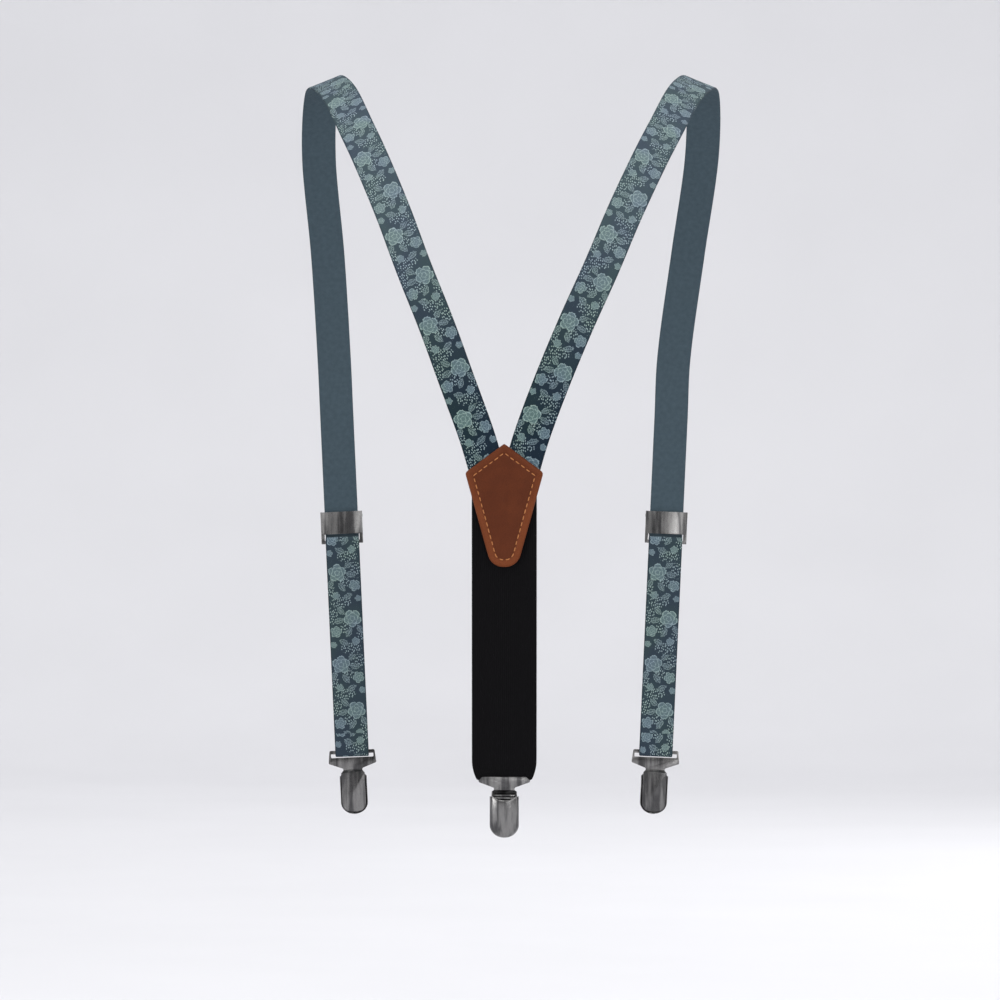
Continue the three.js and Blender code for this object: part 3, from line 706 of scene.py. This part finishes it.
def studio():
    """Soft strips to each side of the camera, a soft light above and pale ground all round."""
    bpy.context.scene.view_settings.view_transform = "Standard"
    lamp("left_strip", (-1.9, -2.0, 0.1), (0, 0, -0.25), (0.6, 2.8), 38)
    lamp("right_strip", (0.8, -2.4, -0.25), (0, 0, -0.35), (0.35, 2.6), 20)
    lamp("side_strip", (2.3, -0.9, 0.1), (0, 0, -0.25), (0.5, 2.6), 14)
    lamp("front_strip", (1.6, 2.0, 0.6), (0, 0, -0.25), (1.2, 1.8), 22)
    lamp("top", (0, -0.3, 1.7), (0, 0, -0.2), (1.6, 1.6), 24)
    lamp("backdrop_wash", (0, 2.4, 2.6), (0, 4.8, 0.6), (5.0, 0.8), 58)
    world = bpy.data.worlds.new("studio")
    world.use_nodes = True
    bpy.context.scene.world = world
    g = Graph(world.node_tree)
    _, _, z = g.split(g.new("ShaderNodeTexCoord").outputs["Generated"])
    sky = g.mix(g.smooth(z, 0.05, 0.75), srgb(96, 96, 98), srgb(238, 238, 240))
    background = world.node_tree.nodes["Background"]
    g.feed(background.inputs["Color"], sky)
    background.inputs["Strength"].default_value = 1.0

    made, g, shader = material("studio_floor", 0.9)
    g.feed(
        shader.inputs["Base Color"],
        g.mix(g.noise(g.object_mm(), 0.004, 2.0), srgb(214, 214, 217), srgb(220, 220, 223)),
    )
    rows = [(-6.0, 0.0), (3.6, 0.0)]
    rows += [(3.6 + 1.2 * math.sin(a), 1.2 - 1.2 * math.cos(a)) for a in np.linspace(0.1, math.pi / 2, 12)]
    rows.append((4.8, 6.0))
    points = [(x * 1000, y * 1000, (z - 0.62) * 1000) for y, z in rows for x in (-7.0, 7.0)]
    faces = [(2 * i, 2 * i + 1, 2 * i + 3, 2 * i + 2) for i in range(len(rows) - 1)]
    add_mesh("floor", points, faces, [made], smooth=60)


camera()
studio()


# ---------------------------------------------------------------- shoulder straps
def lean(z):
    return LEAN * max(0.0, 1 - z / LEAN_FROM)


def shoulder_line(side):
    run, top = front_run(side)
    depth = lambda z: BACK_ORIGIN[1] - (z - BACK_ORIGIN[2]) * math.tan(BACK_TILT)
    worn = [(x, depth(z), z) for x, z in PANEL_LINE] + SHOULDER_LINE
    worn = [(side * x + lean(z), y, z) for x, y, z in worn]
    reach = np.linalg.norm(top - run.origin)
    length = reach - ADJUSTER_ABOVE - GAP / 2
    return through([*worn, *(top - run.up * length * share for share in (0, 0.35, 1))])


def strap_across(points, side):
    share = np.clip((points[:, 1] + 5) / 105, 0, 1)
    share = (share * share * (3 - 2 * share))[:, None]
    back = np.array([0.93, 0.37 * math.tan(BACK_TILT), -0.37])
    wide = back * (1 - share) + X * share
    return wide * np.array([side, 1, 1])


def ripples(seed):
    rng = np.random.default_rng(seed)
    waves = [(rng.uniform(0.02, 0.09), rng.uniform(0, 6.3), rng.uniform(0.04, 0.1)) for _ in range(5)]

    def lift(distance, x):
        total = sum(size * math.sin(rate * distance + phase) for rate, phase, size in waves)
        return total * (x / WEB_HALF) ** 2 * np.sign(x) * 0.6

    return lift


def trim_middle(obj, side):
    """Cuts a strap's end along the middle of the patch, where the two straps meet."""
    mesh = bmesh.new()
    mesh.from_mesh(obj.data)
    plane = Vector((side * GAP / 2 * MM, 0, 0))
    cut = bmesh.ops.bisect_plane(
        mesh,
        geom=mesh.verts[:] + mesh.edges[:] + mesh.faces[:],
        plane_co=plane,
        plane_no=(side, 0, 0),
        clear_inner=True,
    )
    edges = [e for e in cut["geom_cut"] if isinstance(e, bmesh.types.BMEdge)]
    bmesh.ops.holes_fill(mesh, edges=edges)
    mesh.to_mesh(obj.data)
    mesh.free()


for name, side in (("left", -1), ("right", 1)):
    run, _ = front_run(side)
    hang = run.moved(y=FOLD_MID)
    worn = shoulder_line(side)
    fold = [
        (0, y, z)
        for y, z in [(-FOLD_MID, ADJUSTER_ABOVE - GAP)]
        + arc(0, 0, FOLD_MID, 180, 360, 16)
        + [(FOLD_MID + 0.03, 12)]
    ]
    fold = hang.world(fold)
    path = np.concatenate(
        [resample(worn, 2.0), resample(fold[:2], 2.0)[1:], fold[2:-1], resample(fold[-2:], 2.0)[1:]]
    )
    wide = -side * strap_across(path, side)
    wide[len(resample(worn, 2.0)) :] = run.right
    strap = band(
        name + "_strap", path, wide, WEB_HALF, WEB_THICK, [WEBBING, REVERSE], ripple=ripples(7 + side)
    )
    trim_middle(strap, side)
    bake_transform(strap)
    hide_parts(name + "_shoulder_strap", name + "_strap_loop")

    bar_z, bar_y = ADJUSTER_ABOVE + BAR_TOP, BAR_MID - FOLD_MID
    back = [(FOLD_MID + 0.03, 12.0), (bar_y + BAR_FOLD, bar_z)]
    over = arc(bar_y, bar_z, BAR_FOLD, 0, 180, 12)
    tail = [(bar_y - BAR_FOLD, bar_z), (bar_y - BAR_FOLD + 0.2, bar_z - RETURN_TAIL)]
    rows = [*resample(back, 2.0), *over[1:], *resample(tail, 2.0)[1:]]
    path = hang.world([(0, y, z) for y, z in rows])
    wide = np.broadcast_to(run.right, path.shape)
    back_strap = band(
        name + "_strap_return", path, wide, WEB_HALF, WEB_THICK, [WEBBING, REVERSE], start=820.0
    )
    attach(back_strap, name + "_loop")
    anchor = hang.world((0, 0, 12))[0] * MM
    tuple(run.up)
    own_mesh(back_strap)


# ---------------------------------------------------------------- elastic back strap
def elastic():
    """The band down the back, and its fold round the clip's bar.

    The band's corners are turned down outside the bar.
    """
    mid = FOLD_INNER + ELASTIC_THICK / 2
    seam = 13.0
    path = BACK_CLIP.world(
        [(0, y, z) for y, z in resample([(-mid, PATCH_TIP - 20 - BACK_BAIL), (-mid, seam)], 2.0)]
    )
    wide = np.broadcast_to(X, path.shape)
    made = band("elastic_band", path, wide, ELASTIC_HALF, ELASTIC_THICK, [ELASTIC, ELASTIC], cells=24)
    start = BACK.world((0, 0, PATCH_TIP - PATCH_HEIGHT - 4))[0]
    end = BACK_CLIP.world((0, -BACK_HANG, ELASTIC_TAIL + 2))[0]
    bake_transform(made)
    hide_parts("elastic_strap", "elastic_loop")

    behind = -mid + ELASTIC_THICK + GAP
    rows = [  # depth, height, half width, how far the corners hang below
        (-mid, seam, 19.0, 0.0), (-mid, 11.0, 19.0, 0.0), (-mid, 9.0, 19.0, 0.0), (-mid, 7.0, 19.0, 0.0),
        (-mid, 5.0, 18.95, 0.1), (-mid, 3.4, 18.8, 0.3), (-mid, 2.0, 18.5, 0.7), (-mid, 0.8, 18.1, 1.2),
        (-mid, -0.3, 17.6, 1.8), (-mid + 0.05, -1.2, 17.0, 2.5),
        (-2.05, -2.0, 16.3, 3.0), (-1.7, -2.5, 15.5, 2.9),
        (-1.3, -2.85, 14.6, 2.2), (-0.9, -3.1, 13.8, 1.0), (-0.4, -3.3, 13.1, 0.2), (0.2, -3.25, 13.0, 0.0),
        (0.8, -3.0, 13.1, 0.0), (1.4, -2.5, 13.6, 0.0), (1.9, -1.8, 14.6, 0.4), (2.2, -1.0, 15.8, 0.6),
        (2.35, 0.0, 16.9, 0.6), (2.3, 1.5, 17.8, 0.4), (1.9, 3.2, 18.5, 0.2), (1.1, 5.2, 18.9, 0.0),
        (behind + 0.5, 7.2, 19.0, 0.0), (behind, 9.5, 19.0, 0.0),
    ]
    rows += [(behind, z, 19.0, 0.0) for z in np.arange(12.0, ELASTIC_TAIL - 1, 3.0)]
    rows = np.array(rows)
    path = BACK_CLIP.world([(0, y, z) for y, z in rows[:, :2]])
    wide = np.broadcast_to(X, path.shape)
    fold = band(
        "elastic_fold", path, wide, rows[:, 2], ELASTIC_THICK, [ELASTIC, ELASTIC],
        cells=24, droop=(rows[:, 3], 12.2, BACK_CLIP.up),
    )
    start, end = (BACK_CLIP.world((0, 0, z))[0] * MM for z in (12.0, -1.0))
    tuple(start)
    tuple(end)
    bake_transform(fold)


elastic()


# ---------------------------------------------------------------- leather patch
def inset_corners(corners, inset):
    """A polygon of (x, z, radius) with every side moved in by inset."""
    points = np.array([c[:2] for c in corners], float)
    count = len(points)
    middle = points.mean(0)
    lines = []
    for i in range(count):
        a, b = points[i], points[(i + 1) % count]
        along = unit(b - a)
        inward = np.array([-along[1], along[0]])
        inward *= np.sign((middle - a) @ inward)
        lines.append((a + inward * inset, along))
    out = []
    for i in range(count):
        (a, u), (b, v) = lines[i - 1], lines[i]
        t = np.linalg.solve(np.array([u, -v]).T, b - a)[0]
        out.append((*(a + u * t), max(corners[i][2] - inset, 0.7)))
    return out


def rounded(corners, count, per_corner=8):
    """A closed outline with round corners from (x, z, radius).

    It has count even points, from the middle of the first corner.
    """
    out = []
    for i, (x, z, radius) in enumerate(corners):
        here = np.array([x, z], float)
        before, after = (np.array(corners[j][:2], float) for j in (i - 1, (i + 1) % len(corners)))
        to_before, to_after = unit(before - here), unit(after - here)
        half = math.acos(float(to_before @ to_after)) / 2
        centre = here + unit(to_before + to_after) * radius / math.sin(half)
        a = math.atan2(*(here + to_before * radius / math.tan(half) - centre)[::-1])
        b = math.atan2(*(here + to_after * radius / math.tan(half) - centre)[::-1])
        turn = (b - a + math.pi) % (2 * math.pi) - math.pi
        angles = [a + turn * k / per_corner for k in range(per_corner + 1)]
        out += [centre + radius * np.array([math.cos(t), math.sin(t)]) for t in angles]
    out = out[per_corner // 2 :] + out[: per_corner // 2 + 1]
    return resample(out, np.linalg.norm(np.diff(out, axis=0), axis=1).sum() / count)[:-1]


PATCH = [
    (0, PATCH_TIP + 0.5, 0.9),
    (PATCH_HALF, PATCH_TIP - PATCH_SHOULDER, 2.4),
    (PATCH_FOOT, PATCH_TIP - PATCH_HEIGHT, PATCH_FOOT_ROUND),
    (-PATCH_FOOT, PATCH_TIP - PATCH_HEIGHT, PATCH_FOOT_ROUND),
    (-PATCH_HALF, PATCH_TIP - PATCH_SHOULDER, 2.4),
]
PATCH_POINTS = 220
PATCH_CENTRE = np.array([0.0, PATCH_TIP - PATCH_HEIGHT * 0.42])
STITCH_INSET = 4.3


def patch_rings(insets):
    """Outlines of the patch moved in by each inset, then closing in on its centre."""
    last = 6.5
    inner = rounded(inset_corners(PATCH, last), PATCH_POINTS)
    reach = 26.0
    return [
        rounded(inset_corners(PATCH, inset), PATCH_POINTS)
        if inset <= last
        else inner + (PATCH_CENTRE - inner) * (inset - last) / reach
        for inset in insets
    ]


def over_layers(x, z):
    """0 to 1: how far the leather is lifted by the two straps that run under its top."""
    down = PATCH_TIP - z
    middle = np.interp(z + BACK_ORIGIN[2], [-254, -235, -216], [4.8, 10.4, 16.0])
    beside = 1 / (1 + math.exp((abs(x) - middle - 11.2) * 1.1))
    return beside / (1 + math.exp((down - 33) * 0.45))


def leather_front():
    profile = [  # inset, depth behind the leather's face
        (0.6, 1.8), (0.15, 1.7), (0.0, 1.35), (0.05, 0.85),
        (0.3, 0.42), (0.75, 0.14), (1.4, 0.02), (2.1, 0.0),
        (2.8, 0.06), (3.4, 0.2), (3.9, 0.4), (4.3, 0.5), (4.7, 0.42), (5.2, 0.26), (5.8, 0.18), (6.5, 0.14),
        (8.5, 0.1), (11.0, 0.07), (14.0, 0.04), (17.5, 0.02), (21.5, 0.0), (26.0, 0.0), (30.0, 0.0),
    ]
    rings = patch_rings([p[0] for p in profile])
    top = -(WEB_THICK / 2 + GAP + 1.8)
    points, rim = [], []
    for (inset, depth), ring in zip(profile, rings):
        for x, z in ring:
            points.append((x, top + depth + 0.5 * (1 - over_layers(x, z)), z))
            # The rim outside the stitching is lighter; along the top, where the straps lift the leather, it
            # is dimmed with painted shade.
            rim.append((1.0 - min(max((inset - 3.7) / 1.0, 0), 1)) * (0.85 - 0.55 * over_layers(x, z)))
    world = BACK.world([*points, (0.0, top + 0.4, PATCH_CENTRE[1])])
    faces = ring_faces(len(profile), PATCH_POINTS)
    made = add_mesh("leather_patch", world, faces, [LEATHER], smooth=50)
    fix_outward(made)
    made.data.attributes.new("rim", "FLOAT", "POINT").data.foreach_set("value", [*rim, 0.0])
    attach(made, "yoke")
    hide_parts("patch_front")
    return made


def ring_faces(rings, count):
    """Faces between nested rings, out to a last centre point, with the first ring closed flat."""
    faces = []
    for k in range(rings - 1):
        near, far = k * count, (k + 1) * count
        faces += [
            (near + i, near + (i + 1) % count, far + (i + 1) % count, far + i) for i in range(count)
        ]
    last = (rings - 1) * count
    faces += [(last + i, last + (i + 1) % count, rings * count) for i in range(count)]
    faces.append(tuple(range(count - 1, -1, -1)))
    return faces


def fix_outward(obj):
    mesh = bmesh.new()
    mesh.from_mesh(obj.data)
    bmesh.ops.recalc_face_normals(mesh, faces=mesh.faces[:])
    if mesh.calc_volume(signed=True) < 0:
        bmesh.ops.reverse_faces(mesh, faces=mesh.faces[:])
    mesh.to_mesh(obj.data)
    mesh.free()


def stitches(name, line, normal, length, pitch, radius, thread, body, closed=True):
    """A row of short thread stitches along a line of points, each arched a little over the surface."""
    line = np.asarray(line, float)
    if closed:
        line = np.vstack([line, line[:1]])
    total = np.linalg.norm(np.diff(line, axis=0), axis=1).sum()
    count = max(1, round(total / pitch))
    fine = resample(line, total / (count * 40))
    rng = np.random.default_rng(len(name))
    points, faces = [], []
    sides, steps = 8, 8
    for k in range(count):
        begin = int((k + 0.5 * (1 - length / pitch)) * 40)
        span = fine[begin : begin + max(2, int(40 * length / pitch)) + 1]
        if len(span) < 3:
            continue
        nudge = rng.uniform(-0.08, 0.08, 3)
        span = resample(span, np.linalg.norm(np.diff(span, axis=0), axis=1).sum() / steps)
        along = unit(np.gradient(span, axis=0))
        side = unit(np.cross(along, normal))
        base = len(points)
        for i, at in enumerate(span):
            share = i / (len(span) - 1)
            arch = math.sin(math.pi * share)
            size = radius * (0.35 + 0.65 * arch**0.4)
            centre = at + nudge + normal * (radius * (0.9 * arch - 0.5))
            for j in range(sides):
                a = 2 * math.pi * j / sides
                across = side[i] * size * math.cos(a) * 1.15
                points.append(centre + across + normal * size * math.sin(a) * 0.8)
        for i in range(len(span) - 1):
            for j in range(sides):
                n = (j + 1) % sides
                a, b = base + i * sides, base + (i + 1) * sides
                faces.append((a + j, a + n, b + n, b + j))
        faces.append(tuple(base + j for j in range(sides - 1, -1, -1)))
        faces.append(tuple(base + (len(span) - 1) * sides + j for j in range(sides)))
    made = add_mesh(name, points, faces, [thread], smooth=60)
    fix_outward(made)
    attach(made, body)
    return made


def leather_parts():
    leather_front()
    line = rounded(inset_corners(PATCH, STITCH_INSET), PATCH_POINTS)
    top = -(WEB_THICK / 2 + GAP + 1.8)
    points = [(x, top + 0.45 + 0.5 * (1 - over_layers(x, z)), z) for x, z in line]
    stitches("patch_stitching", BACK.world(points), -BACK.back, 2.7, 3.8, 0.27, THREAD, "yoke")

    front = WEB_THICK / 2 + GAP + ELASTIC_THICK + GAP
    profile = [  # inset, height over the lining's foot
        (1.4, 0.0), (0.75, 0.12), (0.6, 0.4), (0.7, 0.75),
        (1.1, 0.96), (3.6, 1.0), (4.3, 0.85), (5.0, 1.0),
    ]
    profile += [(6.5, 1.0), (12.0, 1.0), (18.0, 1.0), (25.0, 1.0), (30.0, 1.0)]
    rings = patch_rings([p[0] for p in profile])
    points = [(x, front + depth, z) for (_, depth), ring in zip(profile, rings) for x, z in ring]
    points.append((0.0, front + 1.0, PATCH_CENTRE[1]))
    faces = ring_faces(len(profile), PATCH_POINTS)
    lining = add_mesh("patch_backing", BACK.world(points), faces, [LINING], smooth=50)
    fix_outward(lining)
    lining.data.attributes.new("rim", "FLOAT", "POINT").data.foreach_set("value", [0.2] * len(points))
    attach(lining, "yoke")
    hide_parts("patch_lining")
    points = [(x, front + 0.95, z) for x, z in line]
    stitches("backing_stitching", BACK.world(points), BACK.back, 2.6, 3.8, 0.25, THREAD, "yoke")


def elastic_stitches():
    """Two rows across the folded end of the elastic, on the wearer's side."""
    face = -FOLD_INNER + ELASTIC_THICK + GAP
    rows = (("elastic_seam_upper", ELASTIC_TAIL - 5.0), ("elastic_seam_lower", ELASTIC_TAIL - 8.0))
    across = np.linspace(-ELASTIC_HALF + 1.5, ELASTIC_HALF - 1.5, 40)
    for name, high in rows:
        line = BACK_CLIP.world([(x, face, high) for x in across])
        stitches(
            name, line, BACK_CLIP.back, 2.2, 3.0, 0.24, BLACK_THREAD, "back_loop", closed=False
        )


leather_parts()
elastic_stitches()


# ---------------------------------------------------------------- metal and plastic
def finish_cad(name, look, width_mm, angle=32.0):
    """A carried-over CAD piece: welded, with its sharp edges eased and its own material."""
    obj = NODES[name]
    weld = obj.modifiers.new("weld", "WELD")
    weld.merge_threshold = 0.004 * MM
    bevel = obj.modifiers.new("eased_edges", "BEVEL")
    bevel.width = width_mm * MM
    bevel.segments = 2
    bevel.limit_method = "ANGLE"
    bevel.angle_limit = math.radians(angle)
    bevel.harden_normals = False
    for slot in obj.material_slots:
        slot.material = look
    if not obj.material_slots:
        obj.data.materials.append(look)
    for polygon in obj.data.polygons:
        polygon.use_smooth = True


def lever(name):
    """The clip's domed lever: one pressed sheet with rolled sides, a turned lip and a round foot."""
    if name == "back":
        place = BACK_CLIP
    else:
        place = front_run(-1 if name == "left" else 1)[0].moved(y=FOLD_MID)
    half, drop, roll = 8.1, 7.0, 1.25
    front, dome, sheet_thick = -7.6, 2.2, 0.5  # room for the ears; the open lever's lip still cuts them
    straight, top = SLOT_LOW - 28.8, SLOT_LOW - 11.0

    def brow(x):
        share = abs(x) / half
        return top - 2.3 * (1 - min(share / 0.92, 1) ** 2.6) - 14 * max(share - 0.88, 0) ** 1.3

    def face(z):
        down = SLOT_LOW - z
        heights = [10.5, 12.5, 15, 18, 22, 26, 30, 33, 36.4]
        set_back = [1.1, 0.62, 0.25, 0.02, 0.0, 0.22, 0.75, 1.4, 2.5]
        return front + np.interp(down, heights, set_back)

    def flange(z):
        return np.interp(SLOT_LOW - z, [10.5, 17, 20, 36.4], [-1.4, -1.4, -2.6, -2.9])

    def outline(inset):
        x = half - inset
        foot = drop * x / half
        shares = np.concatenate([[0, 0.012, 0.03, 0.055, 0.09], np.linspace(0.14, 1, 14)])
        left = [(-x, brow(x) + (straight - brow(x)) * s) for s in shares[:-1]]
        round_foot = [(-x * math.cos(a), straight - foot * math.sin(a)) for a in np.linspace(0, math.pi, 41)]
        return left + round_foot + [(-a, b) for a, b in reversed(left)]

    def depth(x, z, inset):
        rolled = roll - math.sqrt(max(roll**2 - (roll - inset) ** 2, 0)) if inset < roll else 0.0
        return face(z) + dome * (abs(x) / half) ** 2 + rolled

    outer = outline(0.0)
    sides = []
    for share, spread in ((1.0, 0.4), (0.86, 0.2), (0.6, 0.0), (0.3, 0.0)):
        row = []
        for x, z in outer:
            start = depth(x, z, 0.0)
            away = unit(np.array([x, min(z - straight, 0.0) * half / drop])) * spread
            row.append((x + away[0], start + max(flange(z) - start, 0.9) * share, z + away[1]))
        sides.append(row)
    for inset in (0, 0.08, 0.25, 0.5, 0.8, 1.15, 1.5, 2.0, 2.6, 3.3, 4.1, 5.0, 5.9, 6.7, 7.4, half - 0.2):
        sides.append([(x, depth(x, z, inset), z) for x, z in outline(inset)])
    count, curl = len(outer), [(0.95, -0.25), (0.55, 0.12), (0.2, 0.2), (0.05, 0.1)]
    for row in sides[4:]:
        for k, (inward, lift) in enumerate(curl):
            for i in (k, count - 1 - k):
                x, y, z = row[i]
                row[i] = (x, y + inward * (1 - min(abs(x) / half, 1) ** 6), z + lift)
    points = [p for row in sides for p in row]
    faces = []
    for k in range(len(sides) - 1):
        near, far = k * count, (k + 1) * count
        faces += [(near + i, near + i + 1, far + i + 1, far + i) for i in range(count - 1)]
    last = (len(sides) - 1) * count
    faces += [(last + i, last + i + 1, last + count - 2 - i, last + count - 1 - i) for i in range(count // 2)]
    made = add_mesh(name + "_lever", place.world(points), faces, [METAL], smooth=70)
    clean = bmesh.new()
    clean.from_mesh(made.data)
    bmesh.ops.remove_doubles(clean, verts=clean.verts[:], dist=0.005 * MM)
    bmesh.ops.recalc_face_normals(clean, faces=clean.faces[:])
    nose = Vector(place.world((0, front, -27))[0] * MM)
    middle = min(clean.faces, key=lambda f: (f.calc_center_median() - nose).length)
    if middle.normal @ Vector(-place.back) < 0:
        bmesh.ops.reverse_faces(clean, faces=clean.faces[:])
    clean.to_mesh(made.data)
    clean.free()
    sheet = made.modifiers.new("sheet", "SOLIDIFY")
    sheet.thickness = sheet_thick * MM
    sheet.offset = -1
    eased = made.modifiers.new("eased_edges", "BEVEL")
    eased.width = 0.16 * MM
    eased.segments = 2
    eased.limit_method = "ANGLE"
    eased.angle_limit = math.radians(55)
    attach(made, name + "_clip_lever")
    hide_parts(name + "_clip_lever")


for name in ("back", "left", "right"):
    finish_cad(name + "_clip_frame", METAL, 0.16)
    finish_cad(name + "_clip_jaw", METAL, 0.12)
    finish_cad(name + "_clip_lever_pin", METAL, 0.15, 50)
    finish_cad(name + "_clip_rear_pad", PAD, 0.06)
    finish_cad(name + "_clip_jaw_pad", PAD, 0.06)
    lever(name)
for name in ("left", "right"):
    finish_cad(name + "_adjuster_base", METAL, 0.14)
    finish_cad(name + "_adjuster_flap", METAL, 0.16)
    finish_cad(name + "_adjuster_pin", METAL, 0.15, 50)
